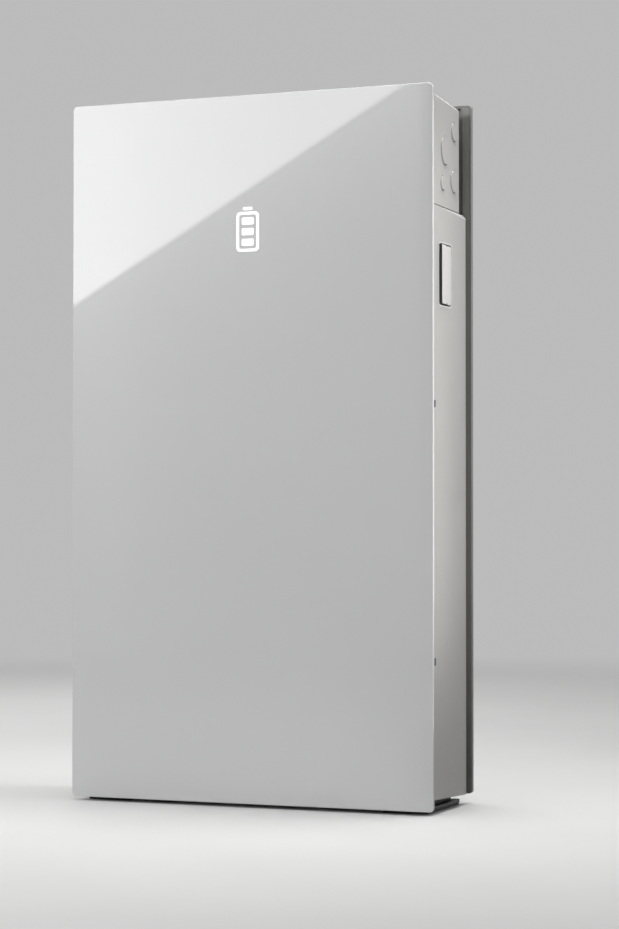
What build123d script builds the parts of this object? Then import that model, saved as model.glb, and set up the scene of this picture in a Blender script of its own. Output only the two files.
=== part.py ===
from build123d import *

# Wall battery unit: a slab-shaped home battery with a built-in inverter.
#
# A glass front cover pulls off forwards. Behind it are two sealed enclosures, one above the other: a drafted
# wiring housing with conduit knockouts, and a deep battery housing that holds two cell stacks, a junction bay
# and the inverter. A cooling channel runs up the back of the battery housing, behind a shallow pan-shaped rear
# panel that hangs on a wall bracket. The unit stands on two feet, and a rocker switch sits in its right side.
#
# Frame: millimetres, +X to the right seen from the front, +Y towards the wall, +Z up. The origin is on the
# floor, in the middle of the width and depth. A length called depth is measured backwards from the front plane.

import math
import os

os.makedirs("parts", exist_ok=True)

# Overall size
WIDTH = 609.0
DEPTH = 193.0
HEIGHT = 1105.0
HALF_WIDTH = WIDTH / 2

# Front cover: enamel emblem, glass, and the frame bonded behind the glass
EMBLEM_THICKNESS = 0.3
EMBLEM_SIZE = (38.0, 62.0)
EMBLEM_Z = 892.0
GLASS_THICKNESS = 5.0
GLASS_BOTTOM = 6.0
GLASS_CORNER = 7.0
GLASS_BACK = EMBLEM_THICKNESS + GLASS_THICKNESS
CARRIER_BACK = 10.5
CARRIER_INSET = 4.0
CARRIER_BAND = 22.0
STUD_RADIUS = 5.0
STUD_END = 21.0
STUD_PLACES = [(x, z) for x in (-255.0, 255.0) for z in (150.0, 560.0, 1010.0)]
CATCH_ZS = (231.0, 620.5)
CATCH_BACK = 18.5

# Both enclosures, from the front plane backwards
LID_FRONT = 11.0
LID_BACK = 13.5
SHELL_FRONT = 15.0
HALF_BODY = 300.0
WALL = 3.0
FLANGE = 18.0
SCREW_LINE = 289.0
MOUTH_X = (FLANGE - HALF_BODY, HALF_BODY - FLANGE)

# Battery housing
SHOULDER_Z = 923.0
BODY_BACK = 178.0
BODY_FRONT_BOTTOM = 22.6
BODY_BACK_BOTTOM = 16.1
CORNER_RADIUS = 14.0
CAVITY_BOTTOM = 26.0
LID_Z = (25.0, SHOULDER_Z - 1.0)
CHANNEL_HALF = 270.0
CHANNEL_DEPTH = 166.0
POCKET_DEPTH = 120.0
POCKET_Z = (700.0, 917.0)
CHANNEL_WALL = CHANNEL_DEPTH - WALL
POCKET_WALL = POCKET_DEPTH - WALL
VENT_PLACE = (0.0, 95.0)
VENT_RADIUS = 12.0

# Wiring housing
HOUSING_GASKET = 1.5
WIRING_BOTTOM = SHOULDER_Z + HOUSING_GASKET
WIRING_TOP = 1094.6
WIRING_BACK = 162.0
WIRING_TAPER = 7.0 / (WIRING_BACK - SHELL_FRONT)
WIRING_WALL = 2.5
TOP_RADIUS = 6.0
WIRING_LID_Z = (WIRING_BOTTOM + 0.5, WIRING_TOP - 1.0)
FEEDTHROUGH = ((-150.0, 50.0), (60.0, 90.0))

# Conduit knockouts in each side of the wiring housing: depth, z and trade diameter
KNOCKOUTS = (
    (78.0, 1012.3, 43.7),
    (126.5, 1047.5, 28.2),
    (65.5, 960.5, 22.2),
    (125.0, 969.8, 34.5),
)
KNOCKOUT_RISE = 1.6
KNOCKOUT_SLOT = (2.4, 6.0)
KNOCKOUT_GROOVE = (0.8, 1.0)

# Screws, and their places as x and z, or x and depth on the shoulder
SCREW_RADIUS = 2.5
SCREW_HOLE = 2.55
SHOULDER_SCREW_RADIUS = 3.0
SHOULDER_SCREW_HOLE = 3.05
SHOULDER_SCREWS = [(x, depth) for x in (-270.0, 0.0, 270.0) for depth in (32.0, 140.0)]
WIRING_SCREWS = [(x, z) for x in (-289.0, -96.0, 96.0, 289.0) for z in (WIRING_BOTTOM + 10, WIRING_TOP - 10)]
LID_ZS = [36.0 + i * 175.4 for i in range(6)]
LID_SCREWS = [(x, z) for x in (-SCREW_LINE, SCREW_LINE) for z in LID_ZS]
LID_SCREWS += [(x, z) for x in (-145.0, 0.0, 145.0) for z in (LID_ZS[0], LID_ZS[-1])]

# Rear panel, and the spacers that hold it: x, depth of the housing's back there, and z
PANEL_FRONT = 180.0
PANEL_SHEET = 188.0
PANEL_BACK = 190.0
PANEL_Z = (16.5, 1097.2)
PANEL_BEAD = 14.0
PANEL_TOP_BEAD = 4.0
SPACERS = [(x, BODY_BACK, z) for x in (-281.0, 281.0) for z in (70.0, 290.0, 510.0, 660.0, 880.0)]
SPACERS += [(x, WIRING_BACK, z) for x in (-262.0, 262.0) for z in (950.0, 1070.0)]

# Wall bracket
BRACKET_FRONT = 190.5
BRACKET_HALF = 245.0
BRACKET_Z = (965.0, 1065.0)
BOLT_SPACING = (406.4, 60.0)
BOLT_HOLE = 4.5
BOLT_HEAD_HOLE = 11.0
BOLT_PLACES = [
    (x * BOLT_SPACING[0] / 2, sum(BRACKET_Z) / 2 + z * BOLT_SPACING[1] / 2) for x in (-1, 1) for z in (-1, 1)
]
HOOK_XS = (-150.0, -50.0, 50.0, 150.0)
HOOK_WIDTH = 30.0
HOOK_Z = (1006.0, 1010.0)
HOOK_RISE = 14.0

# Feet
FOOT_X = 250.0
FOOT_WIDTH = 76.0
FOOT_DEPTH = (22.0, 174.0)
FOOT_LEDGE = 13.0
FLANGE_TOP = 8.5
PAD_HEIGHT = 4.0
ANCHOR_HOLE = 4.5
ANCHOR_X = 281.5
ANCHOR_DEPTHS = (60.0, 136.0)

# Rocker switch in the right side: depth by height, and a pivot that runs along Z
SWITCH_DEPTH = 70.0
SWITCH_Z = 819.7
SWITCH_OPENING = (57.5, 95.0)
CUP_FLOOR = 279.0
ROCKER_SIZE = (54.0, 90.6)
ROCKER_FACE = 302.05
ROCKER_THICKNESS = 2.6
ROCKER_TILT = 5.0
PIVOT_X = 291.0
PIVOT_RADIUS = 2.0
PLUNGER_RADIUS = 3.0
PLUNGER_BEHIND = 19.0
PLUNGER_TIP = 297.45

# Cell stacks
CELL = (210.0, 128.0, 26.5)
CELL_GAP = 3.0
CELL_COUNT = 21
CELL_FRONT = 30.0
CELL_BACK = CELL_FRONT + CELL[1]
STACK_XS = (-175.0, 45.0)
STACK_BOTTOM = 44.0
END_PLATE = 8.0
TERMINAL_OUT = 75.0
CELL_PITCH = CELL[2] + CELL_GAP
CELL_ZS = [STACK_BOTTOM + END_PLATE + i * CELL_PITCH for i in range(CELL_COUNT)]
CELLS_TOP = CELL_ZS[-1] + CELL[2]
STACK_TOP = CELLS_TOP + END_PLATE

# Junction bay, beside the cells
BAY_X = (162.0, 280.0)
TRAY_FRONT = 148.0
CONTACTOR_XS = (192.0, 250.0)
CABLE_RADIUS = 5.0
CABLE_DEPTH = 92.0
CABLE_END_DEPTH = 84.0
STUD_TOP = 282.0
CONTROLLER_X = (BAY_X[0] + 6, BAY_X[1] - 6)
CONTROLLER_Z = (390.0, 600.0)
CONTROLLER_DEPTH = (60.0, 61.6)

# Inverter board
BOARD_X = (-278.0, 232.0)
BOARD_Z = (712.0, 902.0)
BOARD_DEPTH = (96.0, 98.0)
BOARD_POST_XS = (BOARD_X[0] + 6, -22.0, BOARD_X[1] - 6)
BOARD_POST_ZS = (BOARD_Z[0] + 7, BOARD_Z[1] - 7)
BATTERY_TERMINAL_XS = (190.0, 220.0)
BATTERY_TERMINAL_Z = 718.0

# Blowers
BLOWER_XS = (-130.0, 130.0)
BLOWER_Z = 757.0
BLOWER_SIZE = (97.0, 94.0)
BLOWER_DEPTH = (126.0, 160.0)
IMPELLER_RADIUS = 38.0
IMPELLER_BLADES = 17
BLADE_ROOT = 27.0
BLADE_HEIGHT = 22.4
HUB_RADIUS = 17.0

# Wiring compartment
RAIL_X = (-240.0, 150.0)
RAIL_Z = (945.0, 1066.0)
RAIL_FRONT = 150.0
GROUND_BAR_Z = (950.0, 962.0)


# Shapes that the pieces share


def deep(depth):
    """The Y of a plane that lies this far behind the front plane."""
    return depth - DEPTH / 2


def block(x, depth, z):
    """A box from its lowest to its highest x, depth and z."""
    size = [high - low for low, high in (x, depth, z)]
    middle = (sum(x) / 2, deep(sum(depth) / 2), sum(z) / 2)
    return Pos(*middle) * Box(*size)


def plate(x, depth, z, corner):
    """A box whose four corners, seen from the front, are rounded."""
    outline = RectangleRounded(x[1] - x[0], z[1] - z[0], corner)
    place = Pos(sum(x) / 2, deep(depth[1]), sum(z) / 2) * Rot(90, 0, 0)
    return place * extrude(outline, amount=depth[1] - depth[0])


def rod(radius, start, direction, length):
    """A cylinder that starts at a point, given as x, depth and z, and runs along a direction."""
    base = Plane(origin=(start[0], deep(start[1]), start[2]), z_dir=direction)
    return base * Cylinder(radius, length, align=(Align.CENTER, Align.CENTER, Align.MIN))


def pin(radius, x, z, depth):
    """A cylinder that runs backwards from its lowest to its highest depth."""
    return rod(radius, (x, depth[0], z), (0, 1, 0), depth[1] - depth[0])


def countersink(front_radius, x, z, start, length):
    """A cone that narrows backwards to the radius of a screw's shank."""
    base = Plane(origin=(x, deep(start), z), z_dir=(0, 1, 0))
    return base * Cone(front_radius, SCREW_RADIUS, length, align=(Align.CENTER, Align.CENTER, Align.MIN))


def hexagon(radius, start, direction, length):
    """A hexagonal bar that starts at a point, given as x, depth and z."""
    base = Plane(origin=(start[0], deep(start[1]), start[2]), z_dir=direction)
    return base * extrude(RegularPolygon(radius, 6), amount=length)


def side_profile(outline, x):
    """A solid with an outline of depth and z points, spanning a range of x."""
    points = [(deep(depth), z) for depth, z in outline]
    face = Plane(origin=(x[0], 0, 0), x_dir=(0, 1, 0), z_dir=(1, 0, 0)) * Polygon(*points, align=None)
    return extrude(face, amount=x[1] - x[0], dir=(1, 0, 0))


def evenly(low, high, count):
    """Count values from low to high, evenly spaced."""
    return [low + (high - low) * i / (count - 1) for i in range(count)]


def about(middle, reach):
    """The range that reaches this far to both sides of a middle."""
    return (middle - reach, middle + reach)


def inset(limits, amount):
    """A range that is this much shorter at both ends."""
    return (limits[0] + amount, limits[1] - amount)


def outward(side, near, far):
    """The range of x between two distances from the middle, on the left (-1) or right (1) side."""
    return tuple(sorted((side * near, side * far)))


def save(name, *pieces):
    """Writes one node: one solid, or a group of separate solids."""
    solids = [solid for piece in pieces for solid in piece.solids()]
    export_step(solids[0] if len(solids) == 1 else Compound(solids), f"parts/{name}.step")


# Front cover


def glass():
    """Tempered glass with rounded corners and a fine ground edge."""
    depth = (EMBLEM_THICKNESS, GLASS_BACK)
    pane = plate((-HALF_WIDTH, HALF_WIDTH), depth, (GLASS_BOTTOM, HEIGHT), GLASS_CORNER)
    faces = pane.faces().sort_by(Axis.Y)
    return chamfer(faces[0].edges() + faces[-1].edges(), 0.7)


def emblem():
    """A plain battery sign of thin white enamel: an outline, a terminal nub and three bars."""
    line = 4.5
    bar_half_height = 5.5
    depth = (0.0, EMBLEM_THICKNESS)
    x = about(0.0, EMBLEM_SIZE[0] / 2)
    z = about(EMBLEM_Z, EMBLEM_SIZE[1] / 2)
    outline = plate(x, depth, z, 7.0) - plate(inset(x, line), (-1.0, 1.0), inset(z, line), 3.5)
    nub = plate(about(0.0, 8.0), depth, (z[1] + 2.5, z[1] + 7.5), 1.8)
    lowest, highest = inset(z, 2 * line + bar_half_height)
    bars = [
        plate(inset(x, 2 * line), depth, about(bar_z, bar_half_height), 2.0)
        for bar_z in evenly(lowest, highest, 3)
    ]
    return [outline, nub, *bars]


def carrier():
    """The frame bonded to the glass: a perimeter band, two cross bands, and a pad under each stud."""
    depth = (GLASS_BACK, CARRIER_BACK)
    x = inset((-HALF_WIDTH, HALF_WIDTH), CARRIER_INSET)
    z = inset((GLASS_BOTTOM, HEIGHT), CARRIER_INSET)
    window_x = inset(x, CARRIER_BAND)
    band_middles = (z[0] + CARRIER_BAND / 2, 380.0, 760.0, z[1] - CARRIER_BAND / 2)
    windows = [
        plate(window_x, (0.0, 20.0), inset((low, high), CARRIER_BAND / 2), 10.0)
        for low, high in zip(band_middles, band_middles[1:])
    ]
    frame = plate(x, depth, z, 5.0) - windows
    for stud_x, stud_z in STUD_PLACES:
        frame += pin(13.0, stud_x, stud_z, depth)
        reach = outward(math.copysign(1, stud_x), abs(stud_x), window_x[1] + 2)
        frame += block(reach, depth, about(stud_z, 6.0))
    return frame


def cover_studs():
    """Studs with bevelled tips, which plug the cover into the grommets in the lids."""
    studs = []
    for x, z in STUD_PLACES:
        stud = pin(STUD_RADIUS, x, z, (CARRIER_BACK, STUD_END))
        studs.append(chamfer(stud.faces().sort_by(Axis.Y)[-1].edges(), 1.5))
    return studs


def cover_catches():
    """Spring tabs bonded to the cover, which reach back along the sides of the battery housing."""
    edge = HALF_WIDTH - CARRIER_INSET
    reach = (GLASS_BACK, CATCH_BACK)
    return [block(outward(side, edge, edge + 1.6), reach, about(z, 5.5)) for side in (-1, 1) for z in CATCH_ZS]


def grommets():
    """Rubber bushes in the lids, which take the cover's studs and are closed at the back."""
    made = []
    for x, z in STUD_PLACES:
        bush = pin(8.95, x, z, (LID_FRONT + 0.1, STUD_END + 3))
        made.append(bush - pin(STUD_RADIUS + 0.3, x, z, (LID_FRONT - 1, STUD_END + 0.5)))
    return made


# Lids of both enclosures


def lid(z, screw_places, stud_places, beads):
    """A flat front lid with countersunk screw holes, holes for grommets and pressed stiffening beads."""
    sheet = plate(inset((-HALF_BODY, HALF_BODY), 2.0), (LID_FRONT, LID_BACK), z, 6.0)
    through = (LID_FRONT - 1, LID_BACK + 1)
    cuts = [plate(about(x, 6.0), (LID_FRONT - 1, LID_FRONT + 0.8), bead_z, 5.9) for x, bead_z in beads]
    cuts += [pin(SCREW_HOLE, x, screw_z, through) for x, screw_z in screw_places]
    cuts += [countersink(4.7, x, screw_z, LID_FRONT - 0.01, 2.1) for x, screw_z in screw_places]
    cuts += [pin(9.0, x, stud_z, through) for x, stud_z in stud_places]
    return sheet - cuts


def lid_gasket(z, screw_places):
    """A flat rubber seal under a lid, with its screw holes."""
    x = inset((-HALF_BODY, HALF_BODY), 2.0)
    band = 16.0
    seal = plate(x, (LID_BACK, SHELL_FRONT), z, 6.0)
    through = (LID_BACK - 1, SHELL_FRONT + 1)
    cuts = [plate(inset(x, band), through, inset(z, band), 6.0)]
    cuts += [pin(SCREW_HOLE, screw_x, screw_z, through) for screw_x, screw_z in screw_places]
    return seal - cuts


def lid_screws(places):
    """Countersunk screws, just below the lid's front."""
    made = []
    for x, z in places:
        screw = pin(SCREW_RADIUS, x, z, (LID_FRONT + 0.1, 22.0))
        screw += countersink(4.4, x, z, LID_FRONT + 0.1, 1.9)
        made.append(screw - hexagon(1.7, (x, LID_FRONT, z), (0, 1, 0), 1.4))
    return made


# Wiring housing


def drafted(offset, front):
    """The wiring housing's outer form, tapering backwards, moved inwards by an offset."""
    back = WIRING_BACK - offset
    low = WIRING_BOTTOM + offset
    half = [HALF_BODY - offset - WIRING_TAPER * (depth - SHELL_FRONT) for depth in (front, back)]
    high = [WIRING_TOP - offset - WIRING_TAPER * (depth - SHELL_FRONT) for depth in (front, back)]
    outline = ((front, low), (back, low), (back, high[1]), (front, high[0]))
    profile = side_profile(outline, (-HALF_WIDTH, HALF_WIDTH))
    corners = ((-half[0], front), (half[0], front), (half[1], back), (-half[1], back))
    plan = Polygon(*[(x, deep(depth)) for x, depth in corners], align=None)
    return profile & extrude(plan, amount=HEIGHT, dir=(0, 0, 1))


def knockout(side, depth, z, diameter):
    """One knockout, as a raised disc and a cut: a groove round the disc and two slots through the wall."""
    x = side * (HALF_BODY - WIRING_TAPER * (depth - SHELL_FRONT))
    wall = Plane(origin=(x, deep(depth), z), x_dir=(0, 0, 1), z_dir=(side, WIRING_TAPER, 0))
    radius = diameter / 2
    disc = Cylinder(radius, 2 * KNOCKOUT_RISE)
    disc = chamfer(disc.faces().sort_by(Axis.Z)[-1].edges(), 0.4)
    slot_radial, slot_width = KNOCKOUT_SLOT
    slots = Cylinder(radius + slot_radial / 2, 12.0) - Cylinder(radius - slot_radial / 2, 14.0)
    slots &= Box(diameter + 2 * slot_radial, slot_width, 12.0)
    groove_width, groove_depth = KNOCKOUT_GROOVE
    groove = Cylinder(radius + groove_width, 2 * groove_depth) - Cylinder(radius, 10.0)
    return wall * disc, wall * (groove + slots)


def shoulder_holes(low, length):
    """The tools for the shoulder screws' holes, from a height upwards."""
    return [rod(SHOULDER_SCREW_HOLE, (x, depth, low), (0, 0, 1), length) for x, depth in SHOULDER_SCREWS]


def wiring_housing():
    """The upper enclosure: a drafted box with an open, flanged front and knockouts in both sides."""
    outside = drafted(0.0, SHELL_FRONT)
    back_edges = outside.faces().sort_by(Axis.Y)[-1].edges()
    outside = fillet([edge for edge in back_edges if abs(edge.tangent_at(0.5).Z) > 0.9], 10.0)
    top_edges = outside.faces().sort_by(Axis.Z)[-1].edges().sort_by(Axis.Y)[1:]
    outside = fillet(top_edges, TOP_RADIUS)
    knockouts = [knockout(side, *place) for side in (-1, 1) for place in KNOCKOUTS]
    outside += [disc for disc, _ in knockouts]
    inside = drafted(WIRING_WALL, SHELL_FRONT + WALL)
    mouth_z = inset((WIRING_BOTTOM, WIRING_TOP), FLANGE)
    cuts = [plate(MOUTH_X, (SHELL_FRONT - 5, SHELL_FRONT + 10), mouth_z, 8.0)]
    cuts += [cut for _, cut in knockouts]
    cuts.append(block(*FEEDTHROUGH, about(WIRING_BOTTOM, 5.0)))
    cuts += shoulder_holes(WIRING_BOTTOM - 2, 8.0)
    cuts += [pin(SCREW_HOLE, x, z, (SHELL_FRONT - 2, SHELL_FRONT + 6)) for x, z in WIRING_SCREWS]
    return outside - [inside, *cuts]


def housing_gasket():
    """The seal between the two housings, cut out in the middle."""
    front = HALF_BODY - 2.5
    back = front - WIRING_TAPER * (WIRING_BACK - SHELL_FRONT)
    corners = ((-front, SHELL_FRONT), (front, SHELL_FRONT), (back, WIRING_BACK - 4), (-back, WIRING_BACK - 4))
    outline = Polygon(*[(x, deep(depth)) for x, depth in corners], align=None)
    seal = Pos(0, 0, SHOULDER_Z) * extrude(outline, amount=HOUSING_GASKET)
    cuts = [block(about(0.0, 240.0), (45.0, 125.0), about(SHOULDER_Z, 5.0))]
    cuts += shoulder_holes(SHOULDER_Z - 5, 10.0)
    return seal - cuts


def shoulder_screws():
    """Hexagon screws that hold the wiring housing down on the battery housing."""
    top = WIRING_BOTTOM + WIRING_WALL
    tip = SHOULDER_Z - 8
    made = []
    for x, depth in SHOULDER_SCREWS:
        shank = rod(SHOULDER_SCREW_RADIUS, (x, depth, tip), (0, 0, 1), top - tip)
        made.append(shank + hexagon(5.5, (x, depth, top), (0, 0, 1), 4.0))
    return made


# Battery housing


def underside(depth):
    """The height of the housing's sloped underside at a depth."""
    share = (depth - SHELL_FRONT) / (BODY_BACK - SHELL_FRONT)
    return BODY_FRONT_BOTTOM + share * (BODY_BACK_BOTTOM - BODY_FRONT_BOTTOM)


def switch_outline(x, width, height, corner, length):
    """A rounded bar along X, centred on the switch, that starts at an x."""
    wall = Plane(origin=(x, deep(SWITCH_DEPTH), SWITCH_Z), x_dir=(0, 1, 0), z_dir=(1, 0, 0))
    return wall * extrude(RectangleRounded(width, height, corner), amount=length)


def shoulder_slope(side):
    """The tool that bevels one side of the shoulder, from nothing in front to the wiring housing's inset."""
    corner = (side * HALF_BODY, deep(SHELL_FRONT), SHOULDER_Z)
    slope = Plane(origin=corner, z_dir=(side, WIRING_TAPER, 1))
    return slope * Box(500.0, 500.0, 20.0, align=(Align.CENTER, Align.CENTER, Align.MIN))


def battery_housing():
    """The lower enclosure: a tub with an open, flanged front, and a cooling channel and pocket in its back."""
    outline = ((SHELL_FRONT, SHOULDER_Z), (BODY_BACK, SHOULDER_Z))
    outline += ((BODY_BACK, BODY_BACK_BOTTOM), (SHELL_FRONT, BODY_FRONT_BOTTOM))
    outside = side_profile(outline, (-HALF_BODY, HALF_BODY))
    outside = fillet(outside.faces().sort_by(Axis.Y)[-1].edges().filter_by(Axis.Z), CORNER_RADIUS)
    inner_x = inset((-HALF_BODY, HALF_BODY), WALL)
    inner_front = SHELL_FRONT + WALL
    cuts = [
        plate(inner_x, (inner_front, CHANNEL_WALL), (CAVITY_BOTTOM, POCKET_Z[0] - WALL), 8.0),
        plate(inner_x, (inner_front, POCKET_WALL), (600.0, SHOULDER_Z - WALL), 8.0),
        plate(MOUTH_X, (SHELL_FRONT - 5, SHELL_FRONT + 10), inset(LID_Z, FLANGE), 8.0),
        block(about(0.0, CHANNEL_HALF), (CHANNEL_DEPTH, BODY_BACK + 5), (0.0, SHOULDER_Z + 5)),
        block(about(0.0, CHANNEL_HALF), (POCKET_DEPTH, BODY_BACK + 5), POCKET_Z),
        switch_outline(HALF_BODY - 10, SWITCH_OPENING[0] + 4, SWITCH_OPENING[1] + 4, 7.0, 20.0),
        block(*FEEDTHROUGH, about(SHOULDER_Z, 10.0)),
        rod(VENT_RADIUS + 0.05, (*VENT_PLACE, 0.0), (0, 0, 1), 60.0),
    ]
    cuts += [shoulder_slope(side) for side in (-1, 1)]
    cuts += shoulder_holes(SHOULDER_Z - 10, 20.0)
    cuts += [pin(SCREW_HOLE, x, z, (SHELL_FRONT - 2, SHELL_FRONT + 6)) for x, z in LID_SCREWS]
    spacer_depth = (BODY_BACK - 12, BODY_BACK + 8)
    cuts += [pin(SCREW_HOLE, x, z, spacer_depth) for x, back, z in SPACERS if back == BODY_BACK]
    return outside - cuts


def vent_valve():
    """The pressure relief valve in the floor of the battery housing, with its cap below and its nut inside."""
    low = underside(VENT_PLACE[1])
    body = rod(VENT_RADIUS, (*VENT_PLACE, low - 2.5), (0, 0, 1), 18.0)
    cap = rod(VENT_RADIUS + 5, (*VENT_PLACE, low - 4.5), (0, 0, 1), 3.6)
    return body + cap + hexagon(VENT_RADIUS + 5, (*VENT_PLACE, CAVITY_BOTTOM), (0, 0, 1), 5.0)


def channel_grille(z):
    """A slotted strip across the cooling channel."""
    end = CHANNEL_HALF - 0.1
    strip = block(about(0.0, end), inset((CHANNEL_DEPTH, BODY_BACK), 0.5), (z, z + 2))
    slot_depth = inset((CHANNEL_DEPTH, BODY_BACK), 2.0)
    return strip - [block(about(x, 4.0), slot_depth, (z - 1, z + 3)) for x in evenly(-252.0, 252.0, 43)]


# Rear panel, wall bracket and feet


def rear_panel():
    """A shallow pan: a thin sheet with a deep bead round its edge, pressed ribs and openings for the hooks."""
    x = (-HALF_WIDTH, HALF_WIDTH)
    outside = plate(x, (PANEL_FRONT, PANEL_BACK), PANEL_Z, 5.0)
    outside = chamfer(outside.faces().sort_by(Axis.Y)[-1].edges(), 1.2)
    groove = plate(inset(x, 2.0), (0.0, PANEL_FRONT + 0.8), inset(PANEL_Z, 2.0), 4.0)
    groove -= plate(inset(x, 2.9), (-5.0, PANEL_FRONT + 5), inset(PANEL_Z, 2.9), 3.6)
    hollow_z = (PANEL_Z[0] + PANEL_BEAD, PANEL_Z[1] - PANEL_TOP_BEAD)
    cuts = [
        groove,
        plate(inset(x, PANEL_BEAD), (PANEL_FRONT - 5, PANEL_SHEET), hollow_z, 6.0),
        block(about(0.0, CHANNEL_HALF), (PANEL_FRONT - 5, PANEL_SHEET), (0.0, hollow_z[0] + 10)),
    ]
    through = (PANEL_SHEET - 1, PANEL_BACK + 1)
    rib_depth = (PANEL_BACK - 0.9, PANEL_BACK + 1)
    cuts += [plate(about(0.0, 230.0), rib_depth, about(z, 9.0), 8.9) for z in evenly(130.0, 850.0, 7)]
    slot_z = (HOOK_Z[1] - HOOK_RISE - 12, HOOK_Z[1] + 0.1)
    cuts += [plate(about(hook_x, HOOK_WIDTH / 2 + 2), through, slot_z, 1.5) for hook_x in HOOK_XS]
    cuts += [pin(BOLT_HEAD_HOLE, bolt_x, z, through) for bolt_x, z in BOLT_PLACES]
    cuts += [pin(SCREW_HOLE, screw_x, z, through) for screw_x, _, z in SPACERS]
    return outside - cuts


def rear_spacers():
    """Tubes that hold the rear panel off the two housings."""
    tubes = []
    for x, start, z in SPACERS:
        tubes.append(pin(7.0, x, z, (start, PANEL_SHEET)) - pin(SCREW_HOLE, x, z, (start - 1, PANEL_SHEET + 1)))
    return tubes


def rear_screws():
    """Button-head screws through the rear panel and its spacers."""
    made = []
    for x, start, z in SPACERS:
        tip = start - (6.0 if start == BODY_BACK else 0.0)
        head = pin(4.8, x, z, (PANEL_BACK, PANEL_BACK + 2.2))
        head = fillet(head.faces().sort_by(Axis.Y)[-1].edges(), 1.4)
        screw = pin(SCREW_RADIUS, x, z, (tip, PANEL_BACK)) + head
        made.append(screw - hexagon(1.8, (x, PANEL_BACK + 1, z), (0, 1, 0), 3.0))
    return made


def wall_bracket():
    """A steel strip with four bolt holes, and four hooks that pass through the rear panel's slots."""
    strip = plate(about(0.0, BRACKET_HALF), (BRACKET_FRONT, DEPTH), BRACKET_Z, 8.0)
    through = (BRACKET_FRONT - 1, DEPTH + 1)
    cuts = [pin(BOLT_HOLE, x, z, through) for x, z in BOLT_PLACES]
    slot_z = (BRACKET_Z[0] + 14, BRACKET_Z[0] + 28)
    cuts += [plate(about(x, 14.0), through, slot_z, 6.9) for x in (-100.0, 0.0, 100.0)]
    strip -= cuts
    tip_depth = (182.5, 186.0)
    for x in HOOK_XS:
        span = about(x, HOOK_WIDTH / 2)
        strip += block(span, (tip_depth[0], BRACKET_FRONT + 1), HOOK_Z)
        strip += block(span, tip_depth, (HOOK_Z[0], HOOK_Z[1] + HOOK_RISE))
    return strip


def foot(side):
    """A cast foot: a flange with two anchor holes, and a block that meets the housing's sloped underside."""
    x = outward(side, FOOT_X - FOOT_WIDTH / 2, FOOT_X + FOOT_WIDTH / 2)
    flange = plan_plate(x, FOOT_DEPTH, (PAD_HEIGHT, FLANGE_TOP))
    front, back = inset(FOOT_DEPTH, 10.0)
    riser = side_profile(
        ((front, PAD_HEIGHT), (back, PAD_HEIGHT), (back, underside(back)), (front, underside(front))),
        inset(x, FOOT_LEDGE),
    )
    return flange + riser - anchor_holes(side, ANCHOR_HOLE)


def foot_pad(side):
    """The rubber pad under a foot."""
    x = outward(side, FOOT_X - FOOT_WIDTH / 2, FOOT_X + FOOT_WIDTH / 2)
    pad = plan_plate(inset(x, 0.8), inset(FOOT_DEPTH, 0.8), (0.0, PAD_HEIGHT))
    pad = chamfer(pad.faces().sort_by(Axis.Z)[0].edges(), 0.8)
    return pad - anchor_holes(side, ANCHOR_HOLE + 1)


def plan_plate(x, depth, z):
    """A box whose four corners, seen from above, are rounded."""
    outline = RectangleRounded(x[1] - x[0], depth[1] - depth[0], 6.0)
    return Pos(sum(x) / 2, deep(sum(depth) / 2), z[0]) * extrude(outline, amount=z[1] - z[0])


def anchor_holes(side, radius):
    """The tools for a foot's two floor anchor holes."""
    return [rod(radius, (side * ANCHOR_X, depth, -1.0), (0, 0, 1), 12.0) for depth in ANCHOR_DEPTHS]


# Rocker switch


def switch_bezel():
    """The cup that the rocker sits in, flush with the side wall, with bearings for the pivot pin."""
    width, height = SWITCH_OPENING
    cup = switch_outline(CUP_FLOOR - 2, width + 3.9, height + 3.9, 6.9, HALF_BODY - CUP_FLOOR + 2)
    cup += switch_outline(HALF_BODY - WALL - 2, width + 14, height + 14, 9.0, 2.0)
    cuts = [
        switch_outline(CUP_FLOOR, width, height, 5.0, 40.0),
        rod(PIVOT_RADIUS, (PIVOT_X, SWITCH_DEPTH, SWITCH_Z - 60), (0, 0, 1), 120.0),
        rod(PLUNGER_RADIUS + 0.3, (CUP_FLOOR - 5, SWITCH_DEPTH + PLUNGER_BEHIND, SWITCH_Z), (1, 0, 0), 10.0),
    ]
    return cup - cuts


def switch_rocker():
    """A flat key on a hub, tilted so that its front edge stands out, notched at each end of the pivot line."""
    width, height = ROCKER_SIZE
    face = ROCKER_FACE - PIVOT_X
    skirt = 9.0
    rim = 2.5
    key = Pos(0, 0, face - skirt) * extrude(RectangleRounded(width, height, 3.0), amount=skirt)
    key = fillet(key.faces().sort_by(Axis.Z)[-1].edges(), 0.8)
    hollow = RectangleRounded(width - 2 * rim, height - 2 * rim, 2.0)
    key -= Pos(0, 0, face - skirt - 1) * extrude(hollow, amount=skirt + 1 - ROCKER_THICKNESS)
    key += Rot(90, 0, 0) * Cylinder(4.6, height - 4)
    key += Pos(0, 0, (face - 1) / 2) * Box(5.0, height - 4, face - 1)
    key -= [Pos(0, end * height / 2, face) * Box(7.0, 3.2, 3.4) for end in (-1, 1)]
    key -= Rot(90, 0, 0) * Cylinder(PIVOT_RADIUS + 0.05, height + 10)
    sine, cosine = math.sin(math.radians(ROCKER_TILT)), math.cos(math.radians(ROCKER_TILT))
    pivot = (PIVOT_X, deep(SWITCH_DEPTH), SWITCH_Z)
    return Plane(origin=pivot, x_dir=(-sine, cosine, 0), z_dir=(cosine, sine, 0)) * key


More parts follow.
